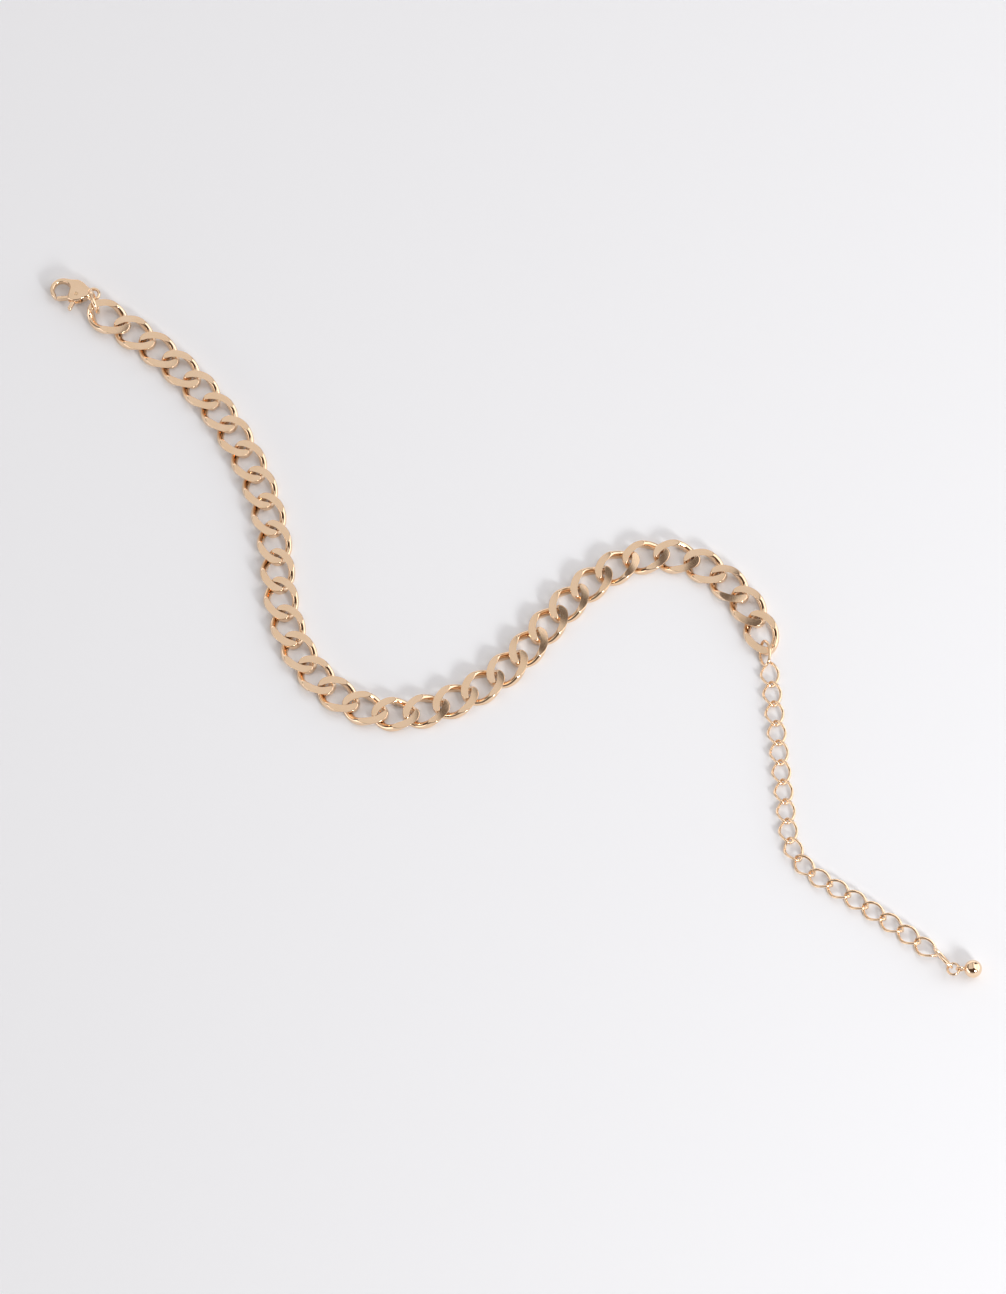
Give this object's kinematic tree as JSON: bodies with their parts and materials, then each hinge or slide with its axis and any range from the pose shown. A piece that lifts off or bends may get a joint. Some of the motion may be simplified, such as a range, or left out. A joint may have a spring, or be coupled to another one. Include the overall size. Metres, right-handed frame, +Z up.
{
  "type": "chain necklace",
  "caption": "Short ground curb-link chain necklace with a trigger clasp, an extender of open oval links and a small end ball, laid in a slack S.",
  "frame": {"origin": "centre of the bounding box on the surface that the chain lies on", "axes": "+Z up from the surface; +X from the clasp side towards the ball side, across the slack S; +Y away from the wearer's side of the table"},
  "size_m": [0.2342, 0.2312, 0.0069],
  "materials": {
    "curb_plate": "polished pale rose gold plate over ground flats",
    "extender_wire": "polished pale rose gold plate",
    "jump_ring": "polished pale rose gold plate",
    "ball": "mirror polished pale rose gold plate",
    "clasp": "polished pale rose gold plate",
    "lever": "polished pale rose gold plate",
    "rivet": "plated brass rivet and spring wire"
  },
  "bodies": {
    "clasp_body": {"clasp_body": "clasp", "clasp_pin_and_spring": "rivet"},
    "clasp_lever": {"clasp_lever": "lever"},
    "clasp_ring": {"clasp_ring": "jump_ring"},
    "curb_link_01": {"curb_link_01": "curb_plate"},
    "curb_link_02": {"curb_link_02": "curb_plate"},
    "curb_link_03": {"curb_link_03": "curb_plate"},
    "curb_link_04": {"curb_link_04": "curb_plate"},
    "curb_link_05": {"curb_link_05": "curb_plate"},
    "curb_link_06": {"curb_link_06": "curb_plate"},
    "curb_link_07": {"curb_link_07": "curb_plate"},
    "curb_link_08": {"curb_link_08": "curb_plate"},
    "curb_link_09": {"curb_link_09": "curb_plate"},
    "curb_link_10": {"curb_link_10": "curb_plate"},
    "curb_link_11": {"curb_link_11": "curb_plate"},
    "curb_link_12": {"curb_link_12": "curb_plate"},
    "curb_link_13": {"curb_link_13": "curb_plate"},
    "curb_link_14": {"curb_link_14": "curb_plate"},
    "curb_link_15": {"curb_link_15": "curb_plate"},
    "curb_link_16": {"curb_link_16": "curb_plate"},
    "curb_link_17": {"curb_link_17": "curb_plate"},
    "curb_link_18": {"curb_link_18": "curb_plate"},
    "curb_link_19": {"curb_link_19": "curb_plate"},
    "curb_link_20": {"curb_link_20": "curb_plate"},
    "curb_link_21": {"curb_link_21": "curb_plate"},
    "curb_link_22": {"curb_link_22": "curb_plate"},
    "curb_link_23": {"curb_link_23": "curb_plate"},
    "curb_link_24": {"curb_link_24": "curb_plate"},
    "curb_link_25": {"curb_link_25": "curb_plate"},
    "curb_link_26": {"curb_link_26": "curb_plate"},
    "curb_link_27": {"curb_link_27": "curb_plate"},
    "curb_link_28": {"curb_link_28": "curb_plate"},
    "curb_link_29": {"curb_link_29": "curb_plate"},
    "curb_link_30": {"curb_link_30": "curb_plate"},
    "curb_link_31": {"curb_link_31": "curb_plate"},
    "curb_link_32": {"curb_link_32": "curb_plate"},
    "curb_link_33": {"curb_link_33": "curb_plate"},
    "curb_link_34": {"curb_link_34": "curb_plate"},
    "extender_link_01": {"extender_link_01": "extender_wire"},
    "extender_link_02": {"extender_link_02": "extender_wire"},
    "extender_link_03": {"extender_link_03": "extender_wire"},
    "extender_link_04": {"extender_link_04": "extender_wire"},
    "extender_link_05": {"extender_link_05": "extender_wire"},
    "extender_link_06": {"extender_link_06": "extender_wire"},
    "extender_link_07": {"extender_link_07": "extender_wire"},
    "extender_link_08": {"extender_link_08": "extender_wire"},
    "extender_link_09": {"extender_link_09": "extender_wire"},
    "extender_link_10": {"extender_link_10": "extender_wire"},
    "extender_link_11": {"extender_link_11": "extender_wire"},
    "extender_link_12": {"extender_link_12": "extender_wire"},
    "extender_link_13": {"extender_link_13": "extender_wire"},
    "extender_link_14": {"extender_link_14": "extender_wire"},
    "extender_link_15": {"extender_link_15": "extender_wire"},
    "extender_link_16": {"extender_link_16": "extender_wire"},
    "extender_link_17": {"extender_link_17": "extender_wire"},
    "extender_link_18": {"extender_link_18": "extender_wire"},
    "extender_link_19": {"extender_link_19": "extender_wire"},
    "extender_link_20": {"extender_link_20": "extender_wire"},
    "ball_ring": {"ball_ring": "jump_ring"},
    "end_ball": {"end_ball": "ball"}
  },
  "joints": [
    {"name": "lever_hinge", "type": "hinge", "parent": "clasp_body", "child": "clasp_lever", "pos_m": [-0.1096, 0.11013, 0.00215], "axis": [-0.0671, 0.0192, 0.9976], "range_deg": [-30, 0], "stiffness_Nm_per_rad": 0.004, "springref_deg": 28.65},
    {"name": "clasp_swivel", "type": "hinge", "parent": "clasp_ring", "child": "clasp_body", "pos_m": [-0.10512, 0.10999, 0.00245], "axis": [0, 0, 1], "range_deg": [-40, 35]},
    {"name": "clasp_ring_swivel", "type": "hinge", "parent": "curb_link_01", "child": "clasp_ring", "pos_m": [-0.10595, 0.10591, 0.00254], "axis": [0.3949, 0.4221, 0.816], "range_deg": [-20, 20]},
    {"name": "ball_swing", "type": "hinge", "parent": "ball_ring", "child": "end_ball", "pos_m": [0.11122, -0.11277, 0.0024], "axis": [0.0872, 0.9962, 0], "range_deg": [-50, 50]},
    {"name": "ball_ring_swivel", "type": "hinge", "parent": "extender_link_20", "child": "ball_ring", "pos_m": [0.10913, -0.11217, 0.0024], "axis": [0, 0, 1], "range_deg": [-15, 50]},
    {"name": "extender_hinge_20", "type": "hinge", "parent": "extender_link_19", "child": "extender_link_20", "pos_m": [0.10522, -0.10637, 0.0023], "axis": [0, 0, 1], "range_deg": [-5, 35]},
    {"name": "extender_hinge_01", "type": "hinge", "parent": "curb_link_34", "child": "extender_link_01", "pos_m": [0.0684, -0.01423, 0.00145], "axis": [0, 0, 1], "range_deg": [-30, 12]},
    {"name": "extender_hinge_02", "type": "hinge", "parent": "extender_link_01", "child": "extender_link_02", "pos_m": [0.06767, -0.01839, 0.00116], "axis": [0, 0, -1], "range_deg": [-20, 25]},
    {"name": "curb_hinge_01", "type": "hinge", "parent": "curb_link_02", "child": "curb_link_01", "pos_m": [-0.09798, 0.10012, 0.00145], "axis": [0, 0, 1], "range_deg": [-31, 14]},
    {"name": "curb_hinge_05", "type": "hinge", "parent": "curb_link_06", "child": "curb_link_05", "pos_m": [-0.07569, 0.07492, 0.00145], "axis": [0, 0, 1], "range_deg": [-31, 21]},
    {"name": "curb_hinge_09", "type": "hinge", "parent": "curb_link_10", "child": "curb_link_09", "pos_m": [-0.06336, 0.04362, 0.00145], "axis": [0, 0, 1], "range_deg": [-31, 21]},
    {"name": "curb_hinge_13", "type": "hinge", "parent": "curb_link_14", "child": "curb_link_13", "pos_m": [-0.06086, 0.00998, 0.00145], "axis": [0, 0, 1], "range_deg": [-20, 32]},
    {"name": "curb_hinge_16", "type": "hinge", "parent": "curb_link_17", "child": "curb_link_16", "pos_m": [-0.0511, -0.01301, 0.00145], "axis": [0, 0, -1], "range_deg": [-38, 14]},
    {"name": "curb_hinge_17", "type": "hinge", "parent": "curb_link_17", "child": "curb_link_18", "pos_m": [-0.04492, -0.01878, 0.00145], "axis": [0, 0, -1], "range_deg": [-8, 44]},
    {"name": "curb_hinge_20", "type": "hinge", "parent": "curb_link_20", "child": "curb_link_21", "pos_m": [-0.02058, -0.02176, 0.00145], "axis": [0, 0, 1], "range_deg": [-35, 17]},
    {"name": "curb_hinge_22", "type": "hinge", "parent": "curb_link_22", "child": "curb_link_23", "pos_m": [-0.00525, -0.01478, 0.00145], "axis": [0, 0, 1], "range_deg": [-35, 17]},
    {"name": "curb_hinge_26", "type": "hinge", "parent": "curb_link_26", "child": "curb_link_27", "pos_m": [0.01933, 0.00834, 0.00145], "axis": [0, 0, 1], "range_deg": [-17, 35]},
    {"name": "curb_hinge_29", "type": "hinge", "parent": "curb_link_29", "child": "curb_link_30", "pos_m": [0.04242, 0.01723, 0.00145], "axis": [0, 0, -1], "range_deg": [-47, 5]},
    {"name": "curb_hinge_31", "type": "hinge", "parent": "curb_link_31", "child": "curb_link_32", "pos_m": [0.05716, 0.00956, 0.00145], "axis": [0, 0, -1], "range_deg": [-39, 13]},
    {"name": "curb_hinge_33", "type": "hinge", "parent": "curb_link_33", "child": "curb_link_34", "pos_m": [0.06618, -0.00461, 0.00145], "axis": [0, 0, -1], "range_deg": [-39, 13]},
    {"name": "extender_hinge_03", "type": "hinge", "parent": "extender_link_02", "child": "extender_link_03", "pos_m": [0.06842, -0.02398, 0.00116], "axis": [0, 0, 1], "range_deg": [-30, 30]},
    {"name": "extender_hinge_07", "type": "hinge", "parent": "extender_link_06", "child": "extender_link_07", "pos_m": [0.06883, -0.04718, 0.00116], "axis": [0, 0, 1], "range_deg": [-30, 30]},
    {"name": "extender_hinge_11", "type": "hinge", "parent": "extender_link_10", "child": "extender_link_11", "pos_m": [0.06923, -0.07037, 0.00116], "axis": [0, 0, 1], "range_deg": [-47, 13]},
    {"name": "extender_hinge_12", "type": "hinge", "parent": "extender_link_11", "child": "extender_link_12", "pos_m": [0.07102, -0.07589, 0.00116], "axis": [0, 0, -1], "range_deg": [-13, 47]},
    {"name": "extender_hinge_13", "type": "hinge", "parent": "extender_link_12", "child": "extender_link_13", "pos_m": [0.07435, -0.08064, 0.00116], "axis": [0, 0, 1], "range_deg": [-47, 13]},
    {"name": "extender_hinge_16", "type": "hinge", "parent": "extender_link_15", "child": "extender_link_16", "pos_m": [0.08787, -0.09159, 0.00116], "axis": [0, 0, -1], "range_deg": [-31, 29]},
    {"name": "extender_hinge_19", "type": "hinge", "parent": "extender_link_18", "child": "extender_link_19", "pos_m": [0.1008, -0.10323, 0.00116], "axis": [0, 0, 1], "range_deg": [-29, 31]},
    {"name": "curb_hinge_02", "type": "hinge", "parent": "curb_link_03", "child": "curb_link_02", "pos_m": [-0.0916, 0.09457, 0.00145], "axis": [0, 0, -1], "range_deg": [-21, 31]},
    {"name": "curb_hinge_03", "type": "hinge", "parent": "curb_link_04", "child": "curb_link_03", "pos_m": [-0.08573, 0.08849, 0.00145], "axis": [0, 0, 1], "range_deg": [-31, 21]},
    {"name": "curb_hinge_04", "type": "hinge", "parent": "curb_link_05", "child": "curb_link_04", "pos_m": [-0.08042, 0.08193, 0.00145], "axis": [0, 0, -1], "range_deg": [-21, 31]},
    {"name": "curb_hinge_06", "type": "hinge", "parent": "curb_link_07", "child": "curb_link_06", "pos_m": [-0.0716, 0.06753, 0.00145], "axis": [0, 0, -1], "range_deg": [-21, 31]},
    {"name": "curb_hinge_07", "type": "hinge", "parent": "curb_link_08", "child": "curb_link_07", "pos_m": [-0.06816, 0.05981, 0.00145], "axis": [0, 0, 1], "range_deg": [-31, 21]},
    {"name": "curb_hinge_08", "type": "hinge", "parent": "curb_link_09", "child": "curb_link_08", "pos_m": [-0.06541, 0.05182, 0.00145], "axis": [0, 0, -1], "range_deg": [-21, 31]},
    {"name": "curb_hinge_10", "type": "hinge", "parent": "curb_link_11", "child": "curb_link_10", "pos_m": [-0.06204, 0.03528, 0.00145], "axis": [0, 0, -1], "range_deg": [-21, 31]},
    {"name": "curb_hinge_11", "type": "hinge", "parent": "curb_link_12", "child": "curb_link_11", "pos_m": [-0.06145, 0.02685, 0.00145], "axis": [0, 0, 1], "range_deg": [-31, 21]},
    {"name": "curb_hinge_12", "type": "hinge", "parent": "curb_link_13", "child": "curb_link_12", "pos_m": [-0.0616, 0.0184, 0.00145], "axis": [0, 0, -1], "range_deg": [-32, 20]},
    {"name": "curb_hinge_14", "type": "hinge", "parent": "curb_link_15", "child": "curb_link_14", "pos_m": [-0.05925, 0.00169, 0.00145], "axis": [0, 0, -1], "range_deg": [-38, 14]},
    {"name": "curb_hinge_15", "type": "hinge", "parent": "curb_link_16", "child": "curb_link_15", "pos_m": [-0.05595, -0.00609, 0.00145], "axis": [0, 0, 1], "range_deg": [-14, 38]},
    {"name": "curb_hinge_18", "type": "hinge", "parent": "curb_link_18", "child": "curb_link_19", "pos_m": [-0.03726, -0.02235, 0.00145], "axis": [0, 0, 1], "range_deg": [-44, 8]},
    {"name": "curb_hinge_19", "type": "hinge", "parent": "curb_link_19", "child": "curb_link_20", "pos_m": [-0.02888, -0.02338, 0.00145], "axis": [0, 0, -1], "range_deg": [-8, 44]},
    {"name": "curb_hinge_21", "type": "hinge", "parent": "curb_link_21", "child": "curb_link_22", "pos_m": [-0.01264, -0.01887, 0.00145], "axis": [0, 0, -1], "range_deg": [-17, 35]},
    {"name": "curb_hinge_23", "type": "hinge", "parent": "curb_link_23", "child": "curb_link_24", "pos_m": [0.00141, -0.00958, 0.00145], "axis": [0, 0, -1], "range_deg": [-17, 35]},
    {"name": "curb_hinge_24", "type": "hinge", "parent": "curb_link_24", "child": "curb_link_25", "pos_m": [0.00717, -0.0034, 0.00145], "axis": [0, 0, 1], "range_deg": [-24, 28]},
    {"name": "curb_hinge_25", "type": "hinge", "parent": "curb_link_25", "child": "curb_link_26", "pos_m": [0.01315, 0.00258, 0.00145], "axis": [0, 0, -1], "range_deg": [-28, 24]},
    {"name": "curb_hinge_27", "type": "hinge", "parent": "curb_link_27", "child": "curb_link_28", "pos_m": [0.02633, 0.01307, 0.00145], "axis": [0, 0, -1], "range_deg": [-35, 17]},
    {"name": "curb_hinge_28", "type": "hinge", "parent": "curb_link_28", "child": "curb_link_29", "pos_m": [0.03399, 0.01664, 0.00145], "axis": [0, 0, 1], "range_deg": [-5, 47]},
    {"name": "curb_hinge_30", "type": "hinge", "parent": "curb_link_30", "child": "curb_link_31", "pos_m": [0.0505, 0.01476, 0.00145], "axis": [0, 0, 1], "range_deg": [-5, 47]},
    {"name": "curb_hinge_32", "type": "hinge", "parent": "curb_link_32", "child": "curb_link_33", "pos_m": [0.06248, 0.00299, 0.00145], "axis": [0, 0, 1], "range_deg": [-13, 39]},
    {"name": "extender_hinge_04", "type": "hinge", "parent": "extender_link_03", "child": "extender_link_04", "pos_m": [0.06852, -0.02978, 0.00116], "axis": [0, 0, -1], "range_deg": [-30, 30]},
    {"name": "extender_hinge_05", "type": "hinge", "parent": "extender_link_04", "child": "extender_link_05", "pos_m": [0.06862, -0.03558, 0.00116], "axis": [0, 0, 1], "range_deg": [-30, 30]},
    {"name": "extender_hinge_06", "type": "hinge", "parent": "extender_link_05", "child": "extender_link_06", "pos_m": [0.06873, -0.04138, 0.00116], "axis": [0, 0, -1], "range_deg": [-30, 30]},
    {"name": "extender_hinge_08", "type": "hinge", "parent": "extender_link_07", "child": "extender_link_08", "pos_m": [0.06893, -0.05298, 0.00116], "axis": [0, 0, -1], "range_deg": [-30, 30]},
    {"name": "extender_hinge_09", "type": "hinge", "parent": "extender_link_08", "child": "extender_link_09", "pos_m": [0.06903, -0.05877, 0.00116], "axis": [0, 0, 1], "range_deg": [-30, 30]},
    {"name": "extender_hinge_10", "type": "hinge", "parent": "extender_link_09", "child": "extender_link_10", "pos_m": [0.06913, -0.06457, 0.00116], "axis": [0, 0, -1], "range_deg": [-30, 30]},
    {"name": "extender_hinge_14", "type": "hinge", "parent": "extender_link_13", "child": "extender_link_14", "pos_m": [0.07892, -0.08421, 0.00116], "axis": [0, 0, -1], "range_deg": [-31, 29]},
    {"name": "extender_hinge_15", "type": "hinge", "parent": "extender_link_14", "child": "extender_link_15", "pos_m": [0.08343, -0.08786, 0.00116], "axis": [0, 0, 1], "range_deg": [-29, 31]},
    {"name": "extender_hinge_17", "type": "hinge", "parent": "extender_link_16", "child": "extender_link_17", "pos_m": [0.09225, -0.09539, 0.00116], "axis": [0, 0, 1], "range_deg": [-29, 31]},
    {"name": "extender_hinge_18", "type": "hinge", "parent": "extender_link_17", "child": "extender_link_18", "pos_m": [0.09656, -0.09927, 0.00116], "axis": [0, 0, -1], "range_deg": [-31, 29]}
  ]
}
